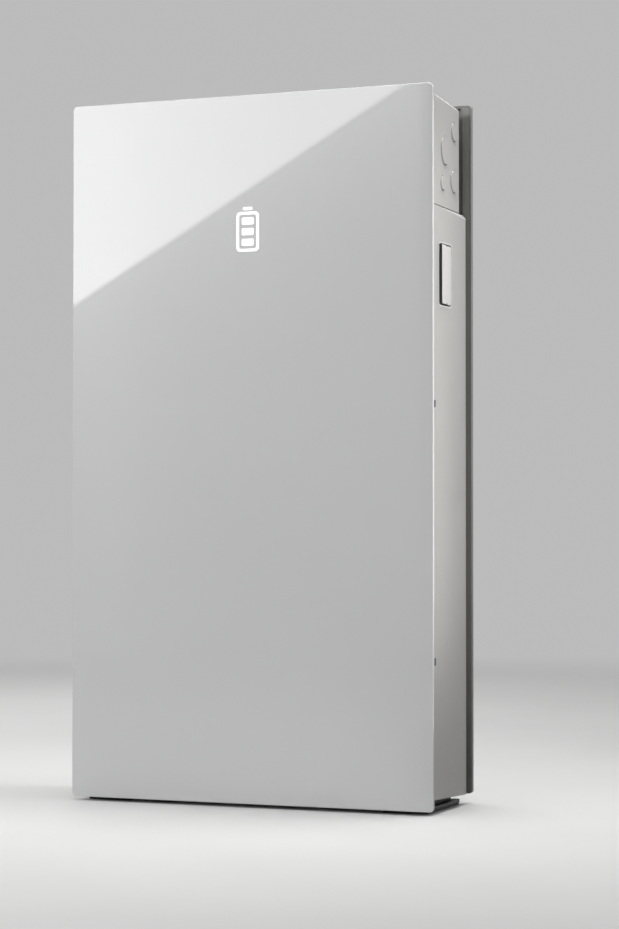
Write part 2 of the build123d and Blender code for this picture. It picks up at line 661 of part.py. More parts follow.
def switch_pivot_pin():
    """The steel pin that the rocker turns on."""
    height = SWITCH_OPENING[1] + 3.6
    return rod(PIVOT_RADIUS - 0.005, (PIVOT_X, SWITCH_DEPTH, SWITCH_Z - height / 2), (0, 0, 1), height)


def switch_plunger():
    """The contact block's sliding pin, which the rocker's back half holds in."""
    start = (CUP_FLOOR - 8, SWITCH_DEPTH + PLUNGER_BEHIND, SWITCH_Z)
    plunger = rod(PLUNGER_RADIUS, start, (1, 0, 0), PLUNGER_TIP - start[0])
    return fillet(plunger.faces().sort_by(Axis.X)[-1].edges(), 1.2)


def contact_block():
    """The sealed contact block behind the cup, with two tabs for its wires."""
    face = CUP_FLOOR - 2
    body = block((face - 34, face), (58.0, 104.0), about(SWITCH_Z, 18.0))
    bore = (face - 14, SWITCH_DEPTH + PLUNGER_BEHIND, SWITCH_Z)
    body -= rod(PLUNGER_RADIUS + 0.3, bore, (1, 0, 0), 20.0)
    for z in (-10.0, 10.0):
        body += block((face - 42, face - 34), (78.0, 84.0), about(SWITCH_Z + z, 1.0))
    return body


# Cell stacks


def cells(stack_x):
    """One stack of flat prismatic cells, each with two terminal pads on its front."""
    made = []
    for low in CELL_ZS:
        z = (low, low + CELL[2])
        cell = block(about(stack_x, CELL[0] / 2), (CELL_FRONT, CELL_BACK), z)
        for side in (-1, 1):
            pad_x = stack_x + side * TERMINAL_OUT
            cell += block(about(pad_x, 9.0), (CELL_FRONT - 3, CELL_FRONT), inset(z, 8.0))
        made.append(cell)
    return made


def cell_spacers():
    """Insulating blankets between neighbouring cells."""
    made = []
    for stack_x in STACK_XS:
        for z in CELL_ZS[1:]:
            x = about(stack_x, CELL[0] / 2 - 2)
            made.append(block(x, inset((CELL_FRONT, CELL_BACK), 2.0), (z - CELL_GAP, z)))
    return made


def busbars():
    """Links that join the cells of each stack in series, left and right in turn."""
    made = []
    for stack_x in STACK_XS:
        for i, low in enumerate(CELL_ZS[:-1]):
            x = stack_x + (TERMINAL_OUT if i % 2 else -TERMINAL_OUT)
            z = inset((low, low + CELL_PITCH + CELL[2]), 10.0)
            made.append(block(about(x, 8.0), (CELL_FRONT - 5, CELL_FRONT - 3), z))
    return made


def end_plates():
    """Stiff plates with lightening slots at the bottom and top of each stack."""
    made = []
    for stack_x in STACK_XS:
        for low in (STACK_BOTTOM, CELLS_TOP):
            slab = block(about(stack_x, CELL[0] / 2), (CELL_FRONT, CELL_BACK), (low, low + END_PLATE))
            slots = [
                block(about(stack_x, CELL[0] / 2 - 20), about(depth, 9.0), about(low + END_PLATE / 2, 2.0))
                for depth in (58.0, 94.0, 130.0)
            ]
            made.append(slab - slots)
    return made


def stack_straps():
    """Steel straps down both sides of each stack."""
    made = []
    for stack_x in STACK_XS:
        for side in (-1, 1):
            faces = sorted((stack_x + side * CELL[0] / 2, stack_x + side * (CELL[0] / 2 + 1.2)))
            for depth in (64.0, 124.0):
                made.append(block(faces, about(depth, 14.0), (STACK_BOTTOM, STACK_TOP)))
    return made


def monitor_boards():
    """A slim circuit board in front of each stack, with a chip for every third cell."""
    made = []
    for stack_x in STACK_XS:
        z = (STACK_BOTTOM + 12, CELLS_TOP - 8)
        board = block(about(stack_x, 22.0), (20.0, 21.6), z)
        for chip_z in evenly(z[0] + 40, z[1] - 40, CELL_COUNT // 3):
            board += block(about(stack_x, 7.0), (21.6, 24.0), about(chip_z, 7.0))
        made.append(board)
    return made


def thermal_plate():
    """The aluminium plate between the cells and the wall of the cooling channel."""
    x = (STACK_XS[0] - CELL[0] / 2, STACK_XS[1] + CELL[0] / 2)
    return block(x, (CELL_BACK, CHANNEL_WALL), (STACK_BOTTOM - 6, STACK_TOP + 6))


# Junction bay


def junction_tray():
    """The insulating tray that the contactors, fuse and current sensor are fixed to, on six legs."""
    z = (50.0, 660.0)
    tray = plate(BAY_X, (TRAY_FRONT, TRAY_FRONT + 4), z, 6.0)
    for x in inset(BAY_X, 9.0):
        for leg_z in evenly(z[0] + 12, z[1] - 12, 3):
            tray += pin(6.0, x, leg_z, (TRAY_FRONT + 4, CHANNEL_WALL))
    return tray


def contactors():
    """Two main contactors with stud terminals on top."""
    foot_z, shoulder_z, stud_z = 184.0, 256.0, 268.0
    made = []
    for x in CONTACTOR_XS:
        can = rod(25.0, (x, 104.0, foot_z + 6), (0, 0, 1), shoulder_z - foot_z - 6)
        can += block(about(x, 26.0), (76.0, TRAY_FRONT), (foot_z, foot_z + 6))
        can += block(about(x, 21.0), (82.0, 126.0), (shoulder_z, stud_z))
        for depth in (CABLE_DEPTH, 116.0):
            can += rod(4.0, (x, depth, stud_z), (0, 0, 1), STUD_TOP - stud_z)
        made.append(can)
    return made


def main_fuse():
    """The main fuse: a ceramic body with end caps, and the tags that hold it off the tray."""
    x, depth, low, high = sum(BAY_X) / 2, 116.0, 72.0, 152.0
    body = rod(17.0, (x, depth, low), (0, 0, 1), high - low)
    for cap_z, tag_z in ((low - 2, low - 12), (high - 8, high + 2)):
        body += rod(18.5, (x, depth, cap_z), (0, 0, 1), 10.0)
        body += block(about(x, 12.0), (depth - 3, TRAY_FRONT), (tag_z, tag_z + 10))
    return body


def current_sensor():
    """A square ring that the positive cable passes through, on a stem from the tray."""
    x, z = CONTACTOR_XS[0], (330.0, 346.0)
    ring = block(about(x, 18.0), about(CABLE_DEPTH, 18.0), z)
    ring -= rod(9.5, (x, CABLE_DEPTH, z[0] - 10), (0, 0, 1), 40.0)
    return ring + block(about(x, 14.0), (CABLE_DEPTH + 18, TRAY_FRONT), inset(z, 2.0))


def battery_controller():
    """The battery management board at the front of the junction bay, with its chips and sockets."""
    board = plate(CONTROLLER_X, CONTROLLER_DEPTH, CONTROLLER_Z, 3.0)
    chips = ((200.0, 560.0, 20.0, 20.0), (242.0, 560.0, 14.0, 26.0), (210.0, 470.0, 34.0, 16.0))
    for x, z, width, height in chips:
        board += block(about(x, width / 2), (56.0, CONTROLLER_DEPTH[0]), about(z, height / 2))
    for z in (420.0, 440.0, 500.0, 520.0):
        board += block((250.0, 268.0), (50.0, CONTROLLER_DEPTH[0]), about(z, 7.0))
    return board


def dc_cable(x, end_x):
    """A stiff cable from a contactor's stud up to a battery terminal on the inverter board."""
    points = (
        (x, deep(CABLE_DEPTH), STUD_TOP),
        (x, deep(CABLE_DEPTH), 630.0),
        (end_x, deep(CABLE_END_DEPTH), 672.0),
        (end_x, deep(CABLE_END_DEPTH), BATTERY_TERMINAL_Z),
    )
    path = FilletPolyline(*points, radius=30.0)
    return sweep(Plane(origin=path @ 0, z_dir=path % 0) * Circle(CABLE_RADIUS), path=path)


# Inverter


def inverter_board():
    """The power board, with its two battery terminals at the lower right."""
    board = plate(BOARD_X, BOARD_DEPTH, BOARD_Z, 4.0)
    terminal_z = (BATTERY_TERMINAL_Z, BATTERY_TERMINAL_Z + 22)
    for x in BATTERY_TERMINAL_XS:
        board += block(about(x, 11.0), (CABLE_END_DEPTH - 11, BOARD_DEPTH[0]), terminal_z)
    return board


def board_posts():
    """Posts that hold the inverter board and the battery controller off the walls behind them."""
    made = []
    for x in BOARD_POST_XS:
        for z in BOARD_POST_ZS:
            made.append(pin(4.5, x, z, (BOARD_DEPTH[1], POCKET_WALL)))
    for x in inset(CONTROLLER_X, 6.0):
        for z in inset(CONTROLLER_Z, 6.0):
            made.append(pin(4.0, x, z, (CONTROLLER_DEPTH[1], TRAY_FRONT)))
    return made


def power_modules():
    """Transistor modules pressed against the pocket's wall, with pins that reach the inverter board."""
    made = []
    for x in evenly(-235.0, 185.0, 7):
        module = block(about(x, 25.0), (105.0, POCKET_WALL), (832.0, 876.0))
        for pin_x in evenly(x - 18, x + 18, 4):
            module += block(about(pin_x, 1.0), (BOARD_DEPTH[1], 105.0), (852.0, 855.0))
        made.append(module)
    return made


def link_capacitors():
    """Two rows of link capacitors on the inverter board."""
    made = []
    for x in evenly(-250.0, -90.0, 5):
        for z in (742.0, 784.0):
            can = pin(17.0, x, z, (46.0, BOARD_DEPTH[0]))
            made.append(fillet(can.faces().sort_by(Axis.Y)[0].edges(), 2.0))
    return made


def filter_inductors():
    """Wound toroids on the inverter board, with their turns of thick wire."""
    made = []
    turns = 14
    z = 768.0
    for x in (-30.0, 50.0, 130.0):
        coil = pin(34.0, x, z, (52.0, 88.0)) - pin(13.0, x, z, (50.0, 90.0))
        for turn in range(turns):
            angle = math.radians(turn * 360 / turns)
            for radius in (34.4, 12.6):
                wire_x, wire_z = x + radius * math.cos(angle), z + radius * math.sin(angle)
                coil += pin(1.7, wire_x, wire_z, (51.0, BOARD_DEPTH[0]))
        made.append(coil)
    return made


def grid_relays():
    """Grid relays along the top of the inverter board."""
    made = []
    for x in evenly(-240.0, 190.0, 8):
        body = block(about(x, 15.0), (68.0, BOARD_DEPTH[0]), (846.0, 888.0))
        made.append(chamfer(body.faces().sort_by(Axis.Y)[0].edges(), 1.0))
    return made


def bulkhead_connector():
    """The sealed connector that passes power from the inverter up into the wiring housing."""
    x, depth = FEEDTHROUGH
    body = block(inset(x, 0.5), inset(depth, 0.5), (906.0, 946.0))
    collar_z = (WIRING_BOTTOM + WIRING_WALL, 932.0)
    return body + block(inset(x, -5.0), inset(depth, -5.0), collar_z)


# Cooling


def heat_sink():
    """An aluminium base on the pocket's wall, with upright fins above the blowers."""
    base = block(about(0.0, 264.0), (POCKET_DEPTH, BLOWER_DEPTH[0]), (704.0, 898.0))
    fins = [block(about(x, 0.9), (BLOWER_DEPTH[0], 158.0), (812.0, 898.0)) for x in evenly(-260.0, 260.0, 53)]
    return base + fins


def blower_housing(x):
    """A scroll casing with a round inlet in its back and an outlet at its top."""
    half, half_height = BLOWER_SIZE[0] / 2, BLOWER_SIZE[1] / 2
    top = BLOWER_Z + half_height
    case = plate(about(x, half), BLOWER_DEPTH, about(BLOWER_Z, half_height), 18.0)
    case += block(about(x, half), BLOWER_DEPTH, (BLOWER_Z, top))
    inside = inset(BLOWER_DEPTH, 2.0)
    cuts = [
        pin(IMPELLER_RADIUS + 5, x, BLOWER_Z, inside),
        block((x - half + 3, x + 20), inside, (BLOWER_Z, top + 5)),
        pin(28.0, x, BLOWER_Z, (inside[1] - 5, BLOWER_DEPTH[1] + 5)),
    ]
    return case - cuts


def blower_motor(x):
    """The stator and shaft that an impeller runs on."""
    start = BLOWER_DEPTH[0] + 2
    return pin(13.0, x, BLOWER_Z, (start, start + 12)) + pin(1.5, x, BLOWER_Z, (start + 12, start + 21))


def impeller_blade():
    """One curved blade, standing on the impeller's disc."""
    tip = IMPELLER_RADIUS - 0.4
    middle = (BLADE_ROOT + tip) / 2
    front = ThreePointArc((BLADE_ROOT, 0), (middle, 2.6), (tip, 8.0))
    back = ThreePointArc((tip - 0.6, 9.2), (middle - 0.8, 4.0), (BLADE_ROOT - 0.6, 1.3))
    outline = make_face([front, Line(front @ 1, back @ 0), back, Line(back @ 1, front @ 0)])
    return extrude(outline, amount=BLADE_HEIGHT)


def impeller(x):
    """A cup-shaped hub on a disc, with curved blades round it."""
    start = BLOWER_DEPTH[0] + 4
    disc = pin(IMPELLER_RADIUS, x, BLOWER_Z, (start, start + 1.6))
    hub = pin(HUB_RADIUS, x, BLOWER_Z, (start, start + 16))
    base = Plane(origin=(x, deep(start + 1), BLOWER_Z), z_dir=(0, 1, 0))
    blade = impeller_blade()
    blades = [base * Rot(0, 0, i * 360 / IMPELLER_BLADES) * blade for i in range(IMPELLER_BLADES)]
    cuts = [
        pin(HUB_RADIUS - 2.5, x, BLOWER_Z, (start - 1, start + 13)),
        pin(1.55, x, BLOWER_Z, (start, start + 30)),
    ]
    return disc + [hub, *blades] - cuts


# Wiring compartment


def terminal_block(x, z, poles, pitch):
    """A row of screw terminals on the rail, with a wire opening below each screw."""
    half = poles * pitch / 2
    depth = (112.0, RAIL_FRONT)
    body = block(about(x, half), depth, about(z, 22.0))
    for i in range(poles):
        pole_x = x - half + pitch * (i + 0.5)
        body -= pin(pitch * 0.3, pole_x, z + 8, (100.0, 122.0))
        body -= block(about(pole_x, pitch * 0.3), (118.0, 140.0), (z - 30, z - 8))
        body += pin(pitch * 0.24, pole_x, z + 8, (114.0, 124.0))
    return body


def ground_bar():
    """A brass bar with a row of clamp screws."""
    bar = block((-230.0, 120.0), (134.0, 142.0), GROUND_BAR_Z)
    z = sum(GROUND_BAR_Z) / 2
    return bar + [pin(3.2, x, z, (130.0, 136.0)) for x in evenly(-215.0, 105.0, 12)]


def terminal_rail():
    """The steel plate that carries the terminal blocks, with two posts for the ground bar."""
    rail = block(RAIL_X, (RAIL_FRONT, RAIL_FRONT + 2), RAIL_Z)
    for x in (RAIL_X[0] + 15, RAIL_X[1] - 20):
        rail += pin(6.0, x, 1000.0, (RAIL_FRONT + 2, WIRING_BACK - WIRING_WALL))
        post_x = max(x, -224.0) if x < 0 else 114.0
        rail += block(about(post_x, 5.0), (142.0, RAIL_FRONT), inset(GROUND_BAR_Z, 2.0))
    return rail


def control_board():
    """The gateway board beside the terminals, with chips, three data sockets and four legs."""
    x, z, depth = (164.0, 276.0), (945.0, 1066.0), (140.0, 141.6)
    board = plate(x, depth, z, 3.0)
    for chip_x, chip_z, width, height in ((190.0, 1035.0, 26.0, 26.0), (246.0, 1040.0, 30.0, 20.0)):
        board += block(about(chip_x, width / 2), (136.0, depth[0]), about(chip_z, height / 2))
    for socket_z in (962.0, 984.0, 1006.0):
        board += block((252.0, 272.0), (122.0, depth[0]), about(socket_z, 8.0))
    for leg_x in inset(x, 6.0):
        for leg_z in inset(z, 6.0):
            board += pin(3.5, leg_x, leg_z, (depth[1], WIRING_BACK - WIRING_WALL))
    return board


def aerial():
    """A stub aerial on the control board."""
    x, depth = 222.0, 132.0
    socket = block(about(x, 5.0), (127.0, 140.0), (1000.0, 1010.0))
    return socket + rod(4.0, (x, depth, 1010.0), (0, 0, 1), 62.0)


def save_cover():
    save("front_glass", glass())
    save("front_emblem", *emblem())
    save("cover_carrier", carrier())
    save("cover_studs", *cover_studs())
    save("cover_catches", *cover_catches())
    save("cover_grommets", *grommets())


def save_enclosures():
    studs_above = [place for place in STUD_PLACES if place[1] > SHOULDER_Z]
    studs_below = [place for place in STUD_PLACES if place[1] < SHOULDER_Z]
    bead_spans = ((80.0, 290.0), (330.0, 540.0), (620.0, 830.0))
    beads = [(x, span) for x in evenly(-210.0, 210.0, 6) for span in bead_spans]
    save("wiring_housing", wiring_housing())
    save("wiring_lid", lid(WIRING_LID_Z, WIRING_SCREWS, studs_above, []))
    save("wiring_lid_gasket", lid_gasket(WIRING_LID_Z, WIRING_SCREWS))
    save("battery_housing", battery_housing())
    save("battery_lid", lid(LID_Z, LID_SCREWS, studs_below, beads))
    save("battery_lid_gasket", lid_gasket(LID_Z, LID_SCREWS))
    save("lid_screws", *lid_screws(WIRING_SCREWS + LID_SCREWS))
    save("housing_gasket", housing_gasket())
    save("shoulder_screws", *shoulder_screws())
    save("vent_valve", vent_valve())


def save_back_and_feet():
    save("rear_panel", rear_panel())
    save("rear_spacers", *rear_spacers())
    save("rear_panel_screws", *rear_screws())
    save("wall_bracket", wall_bracket())
    save("feet", foot(-1), foot(1))
    save("foot_pads", foot_pad(-1), foot_pad(1))
    save("channel_grilles", channel_grille(20.0), channel_grille(919.0))


def save_switch():
    save("switch_bezel", switch_bezel())
    save("switch_rocker", switch_rocker())
    save("switch_pivot_pin", switch_pivot_pin())
    save("switch_plunger", switch_plunger())
    save("switch_contact_block", contact_block())


def save_battery():
    for name, stack_x in zip(("left", "right"), STACK_XS):
        save(f"cells_{name}", *cells(stack_x))
    save("cell_spacers", *cell_spacers())
    save("busbars", *busbars())
    save("stack_end_plates", *end_plates())
    save("stack_straps", *stack_straps())
    save("cell_monitor_boards", *monitor_boards())
    save("thermal_plate", thermal_plate())
    save("junction_tray", junction_tray())
    save("main_contactors", *contactors())
    save("main_fuse", main_fuse())
    save("current_sensor", current_sensor())
    save("battery_controller", battery_controller())
    save("dc_cable_positive", dc_cable(CONTACTOR_XS[0], BATTERY_TERMINAL_XS[0]))
    save("dc_cable_negative", dc_cable(CONTACTOR_XS[1], BATTERY_TERMINAL_XS[1]))


def save_inverter():
    save("inverter_board", inverter_board())
    save("board_posts", *board_posts())
    save("power_modules", *power_modules())
    save("link_capacitors", *link_capacitors())
    save("filter_inductors", *filter_inductors())
    save("grid_relays", *grid_relays())
    save("bulkhead_connector", bulkhead_connector())
    save("heat_sink", heat_sink())
    for name, x in zip(("left", "right"), BLOWER_XS):
        save(f"blower_{name}_impeller", impeller(x))
    save("blower_housings", *[blower_housing(x) for x in BLOWER_XS])
    save("blower_motors", *[blower_motor(x) for x in BLOWER_XS])


def save_wiring():
    save("terminal_blocks", terminal_block(-150.0, 1015.0, 5, 26.0), terminal_block(50.0, 1015.0, 12, 13.0))
    save("ground_bar", ground_bar())
    save("terminal_rail", terminal_rail())
    save("control_board", control_board())
    save("aerial", aerial())


save_cover()
save_enclosures()
save_back_and_feet()
save_switch()
save_battery()
save_inverter()
save_wiring()
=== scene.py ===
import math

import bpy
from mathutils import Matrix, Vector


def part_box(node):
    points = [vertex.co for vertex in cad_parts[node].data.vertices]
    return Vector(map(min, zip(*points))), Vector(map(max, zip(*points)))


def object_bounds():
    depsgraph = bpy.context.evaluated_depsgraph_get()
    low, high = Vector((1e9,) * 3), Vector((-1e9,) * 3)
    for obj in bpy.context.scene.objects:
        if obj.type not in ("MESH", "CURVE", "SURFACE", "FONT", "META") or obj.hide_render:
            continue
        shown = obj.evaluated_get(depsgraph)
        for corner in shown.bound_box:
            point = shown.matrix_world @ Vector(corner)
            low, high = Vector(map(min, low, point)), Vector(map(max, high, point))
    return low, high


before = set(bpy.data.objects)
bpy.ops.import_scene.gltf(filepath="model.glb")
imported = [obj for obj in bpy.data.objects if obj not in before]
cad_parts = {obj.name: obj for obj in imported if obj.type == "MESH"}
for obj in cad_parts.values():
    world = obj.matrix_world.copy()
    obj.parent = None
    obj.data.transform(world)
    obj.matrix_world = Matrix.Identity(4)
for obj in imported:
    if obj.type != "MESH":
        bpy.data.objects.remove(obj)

# Looks of the wall battery unit: a photo studio with a pale floor, the camera, and a procedural material for
# every piece of the model. Everything is in metres, in the model's own frame.

CAD_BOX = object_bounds()

# Camera: on the right of the unit and below its middle, looking slightly up through a long lens
CAMERA = Vector((1.5611, -3.6583, 0.4466))
CAMERA_YAW = 22.2528
CAMERA_PITCH = 1.2367
LENS = 97.3
SENSOR = 36.0

GLASS_LOW, GLASS_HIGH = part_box("front_glass")
BODY_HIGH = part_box("battery_housing")[1]
TERMINAL_HEIGHT = 0.003
CELL_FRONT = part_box("cells_left")[0].y + TERMINAL_HEIGHT
FUSE_CAP = 0.020
BOARD_REACH = 0.0022

# Strength of the surroundings, in front of the unit and behind it
WORLD_LIGHT = 0.24
BACK_WORLD_LIGHT = 0.50

# The floor, and the distances from the unit between which it fades out
FLOOR_SIZE = 24.0
FLOOR_FADE = (1.9, 4.4)

# The card that the glass mirrors. Its bright part is cut off on a slant, which meets the left edge of the
# glass at one height and its top edge at one width, and it gets dimmer from left to right.
CARD_DISTANCE = 4.0
CARD_WIDTH = (-4.2, -0.4)
CARD_HEIGHT = 3.4
SLANT_LEFT_Z = 0.785
SLANT_TOP_X = 0.262
SLANT_BLUR = (-0.006, 0.012)
BOX_LIGHT = (6.4, 4.3)
BOX_LIGHT_RIGHT_X = 0.1
HALO_LIGHT = 2.4
HALO_FALL = 3.2
STRIPE_X = -0.243
STRIPE_LIGHT = 0.30
STRIPE_SHARPNESS = 40.0
BASE_LIGHT = 0.85
BASE_TOP_Z = 0.9
RIM_WIDTH = 0.016
RIM_SHARE = 0.25

# The card that lights the edge of the glass: its strength, its two sides seen from above, and its heights
EDGE_LIGHT = 6.5
EDGE_CARD_PLAN = ((1.30, -0.62), (1.42, -0.38))
EDGE_CARD_Z = (0.03, 2.2)

# The black cloth: its reach to the right of the unit, its front and back, and its height
FLAG_REACH = (0.01, 0.75)
FLAG_Y = (-0.35, 0.75)
FLAG_Z = 0.003


# Small helpers for shader nodes


def new_material(name):
    """A material with a Principled shader. Returns the material, its node tree and the shader."""
    material = bpy.data.materials.new(name)
    material.use_nodes = True
    return material, material.node_tree, material.node_tree.nodes["Principled BSDF"]


def add(tree, kind, inputs=None, **settings):
    """A shader node with its settings made, and its inputs either linked or set."""
    node = tree.nodes.new(kind)
    for key, value in settings.items():
        setattr(node, key, value)
    for key, value in (inputs or {}).items():
        if isinstance(value, bpy.types.NodeSocket):
            tree.links.new(value, node.inputs[key])
        else:
            node.inputs[key].default_value = value
    return node


def place(tree, stretch=(1, 1, 1)):
    """Coordinates that stay with the object as it moves, stretched along its axes."""
    coordinates = add(tree, "ShaderNodeTexCoord").outputs["Object"]
    return add(tree, "ShaderNodeMapping", {"Vector": coordinates, "Scale": stretch}).outputs[0]


def part_of(tree, axis):
    """One coordinate of the point that is shaded, in metres: 0 is X, 1 is Y, 2 is Z."""
    coordinates = add(tree, "ShaderNodeTexCoord")
    return add(tree, "ShaderNodeSeparateXYZ", {"Vector": coordinates.outputs["Object"]}).outputs[axis]


def noise(tree, scale, detail=3.0, roughness=0.55, stretch=(1, 1, 1)):
    """Cloudy noise between 0 and 1, with this many features to the metre."""
    inputs = {"Vector": place(tree, stretch), "Scale": scale, "Detail": detail, "Roughness": roughness}
    return add(tree, "ShaderNodeTexNoise", inputs).outputs[0]


def maths(tree, operation, first, second=0.0):
    """One operation on one or two values or sockets."""
    return add(tree, "ShaderNodeMath", {0: first, 1: second}, operation=operation).outputs[0]


def remap(tree, value, start, end, low=0.0, high=1.0, smooth=False):
    """A value that goes from low to high as another goes from start to end."""
    inputs = {"Value": value, "From Min": start, "From Max": end, "To Min": low, "To Max": high}
    kind = "SMOOTHSTEP" if smooth else "LINEAR"
    return add(tree, "ShaderNodeMapRange", inputs, interpolation_type=kind).outputs[0]


def colours(tree, factor, *stops):
    """A colour that runs through the stops, each a place and a colour, as the factor goes from 0 to 1."""
    ramp = add(tree, "ShaderNodeValToRGB", {"Fac": factor})
    elements = ramp.color_ramp.elements
    while len(elements) < len(stops):
        elements.new(0.5)
    for element, (at, colour) in zip(elements, stops):
        element.position = at
        element.color = (*colour, 1)
    return ramp.outputs[0]


def mix(tree, factor, first, second):
    """The first colour where the factor is 0 and the second where it is 1."""
    node = add(tree, "ShaderNodeMix", data_type="RGBA")
    for key, value in ((0, factor), (6, first), (7, second)):
        if isinstance(value, bpy.types.NodeSocket):
            tree.links.new(value, node.inputs[key])
        else:
            node.inputs[key].default_value = value if key == 0 else (*value, 1)
    return node.outputs[2]


def shade(colour, amount):
    """A colour made lighter or darker by a factor."""
    return tuple(min(1.0, part * amount) for part in colour)


def bump(tree, shader, height, distance, socket="Normal"):
    """Relief on the surface or on its clear coat, this deep in metres."""
    node = add(tree, "ShaderNodeBump", {"Height": height, "Distance": distance, "Strength": 1.0})
    tree.links.new(node.outputs[0], shader.inputs[socket])


def finish_with(tree, shader, **sockets):
    """Links or sets the shader's inputs. Underscores in a name stand for spaces."""
    for key, value in sockets.items():
        target = shader.inputs[key.replace("_", " ")]
        if isinstance(value, bpy.types.NodeSocket):
            tree.links.new(value, target)
        else:
            target.default_value = (*value, 1) if isinstance(value, tuple) else value


# Materials


def powder_coat(name, colour, gloss=0.44):
    """Satin powder coating: a fine orange peel, faint clouds in its colour and gloss, and tiny specks."""
    material, tree, shader = new_material(name)
    clouds = noise(tree, 7.0, detail=4.0)
    specks = remap(tree, noise(tree, 900.0, detail=1.0), 0.62, 0.72)
    base = colours(tree, clouds, (0.3, shade(colour, 0.975)), (0.7, shade(colour, 1.02)))
    finish_with(
        tree, shader,
        Base_Color=mix(tree, maths(tree, "MULTIPLY", specks, 0.12), base, shade(colour, 0.7)),
        Roughness=remap(tree, noise(tree, 26.0), 0.3, 0.7, gloss - 0.03, gloss + 0.04),
        Specular_IOR_Level=0.5,
    )
    bump(tree, shader, noise(tree, 520.0, detail=2.0), 0.00005)
    return material


def cover_glass():
    """White-backed glass: a clear polished face over paint, with a greenish cast in the ground edges."""
    material, tree, shader = new_material("cover_glass")
    paint = colours(
        tree, noise(tree, 3.0, detail=5.0, roughness=0.6),
        (0.3, (0.640, 0.643, 0.650)), (0.7, (0.655, 0.657, 0.664)),
    )
    facing = add(tree, "ShaderNodeTexCoord").outputs["Normal"]
    forward = add(tree, "ShaderNodeSeparateXYZ", {"Vector": facing}).outputs[1]
    edge = remap(tree, maths(tree, "ABSOLUTE", forward), 0.9, 0.6)
    ground = colours(tree, noise(tree, 700.0), (0.3, (0.64, 0.67, 0.66)), (0.7, (0.76, 0.79, 0.78)))
    finish_with(
        tree, shader,
        Base_Color=mix(tree, edge, paint, ground),
        Roughness=remap(tree, edge, 0.0, 1.0, 0.55, 0.35),
        Specular_IOR_Level=0.0,
        Coat_Weight=1.0,
        Coat_Roughness=0.012,
        Coat_IOR=1.52,
    )
    waves = noise(tree, 2.6, detail=1.0, stretch=(0.5, 1, 1.6))
    bump(tree, shader, waves, 0.00012, socket="Coat Normal")
    bump(tree, shader, noise(tree, 900.0), 0.00001)
    return material


def enamel():
    """Bright white fired enamel, faintly uneven, with a faint painted glow: it shines as if lit, though it
    is no lamp.
    """
    material, tree, shader = new_material("emblem_enamel")
    grain = noise(tree, 400.0)
    finish_with(
        tree, shader,
        Base_Color=colours(tree, grain, (0.3, (0.90, 0.90, 0.90)), (0.7, (0.96, 0.96, 0.96))),
        Roughness=remap(tree, grain, 0.3, 0.7, 0.28, 0.38),
        # Painted glow: a faint white emission stands in for light on the emblem
        Emission_Color=(1.0, 1.0, 1.0),
        Emission_Strength=0.42,
    )
    bump(tree, shader, grain, 0.00003)
    return material


def moulded_plastic(name, colour, gloss=0.5, texture=0.00004):
    """Moulded plastic: a fine spark-eroded texture and faint flow marks."""
    material, tree, shader = new_material(name)
    flow = noise(tree, 18.0, detail=3.0, stretch=(1, 1, 0.35))
    grain = noise(tree, 1400.0, detail=2.0)
    finish_with(
        tree, shader,
        Base_Color=colours(tree, flow, (0.3, shade(colour, 0.92)), (0.7, shade(colour, 1.08))),
        Roughness=remap(tree, flow, 0.3, 0.7, gloss - 0.05, gloss + 0.06),
    )
    bump(tree, shader, grain, texture)
    return material


def rocker_plastic():
    """The rocker's shell: a pale face and rim, with painted shade on its side walls, which are made
    near-black.
    """
    material, tree, shader = new_material("rocker_plastic")
    facing = add(tree, "ShaderNodeTexCoord").outputs["Normal"]
    outwards = add(tree, "ShaderNodeSeparateXYZ", {"Vector": facing}).outputs["X"]
    # Painted shade: faces that do not point outwards, the side walls, get a near-black colour in place of
    # their shadow
    face = remap(tree, outwards, 0.30, 0.55)
    flow = noise(tree, 18.0, detail=3.0)
    pale = colours(tree, flow, (0.3, (0.74, 0.73, 0.715)), (0.7, (0.80, 0.79, 0.775)))
    finish_with(
        tree, shader,
        Base_Color=mix(tree, face, (0.030, 0.030, 0.031), pale),
        Roughness=remap(tree, flow, 0.3, 0.7, 0.30, 0.40),
    )
    bump(tree, shader, noise(tree, 1400.0, detail=2.0), 0.00002)
    return material


def rubber():
    """Matt moulded rubber with a dusty bloom."""
    material, tree, shader = new_material("seal_rubber")
    colour = (0.018, 0.018, 0.019)
    bloom = remap(tree, noise(tree, 60.0, detail=5.0), 0.45, 0.75)
    finish_with(
        tree, shader,
        Base_Color=mix(tree, bloom, colour, shade(colour, 2.6)),
        Roughness=remap(tree, bloom, 0.0, 1.0, 0.62, 0.85),
        Specular_IOR_Level=0.35,
    )
    bump(tree, shader, noise(tree, 800.0), 0.00008)
    return material


def galvanised():
    """Zinc-coated steel with flat crystals of different greys."""
    material, tree, shader = new_material("galvanised_steel")
    coordinates = place(tree)
    bent = add(tree, "ShaderNodeTexNoise", {"Vector": coordinates, "Scale": 90.0, "Detail": 2.0})
    wander = add(
        tree, "ShaderNodeVectorMath", {0: bent.outputs[1], 1: (0.012, 0.012, 0.012)}, operation="MULTIPLY"
    )
    moved = add(tree, "ShaderNodeVectorMath", {0: coordinates, 1: wander.outputs[0]}, operation="ADD")
    crystals = add(tree, "ShaderNodeTexVoronoi", {"Vector": moved.outputs[0], "Scale": 110.0})
    tone = add(tree, "ShaderNodeSeparateColor", {"Color": crystals.outputs["Color"]}).outputs[0]
    finish_with(
        tree, shader,
        Base_Color=colours(tree, tone, (0.0, (0.36, 0.37, 0.38)), (1.0, (0.60, 0.61, 0.62))),
        Roughness=remap(tree, tone, 0.0, 1.0, 0.32, 0.52),
        Metallic=1.0,
    )
    bump(tree, shader, noise(tree, 700.0), 0.00003)
    return material


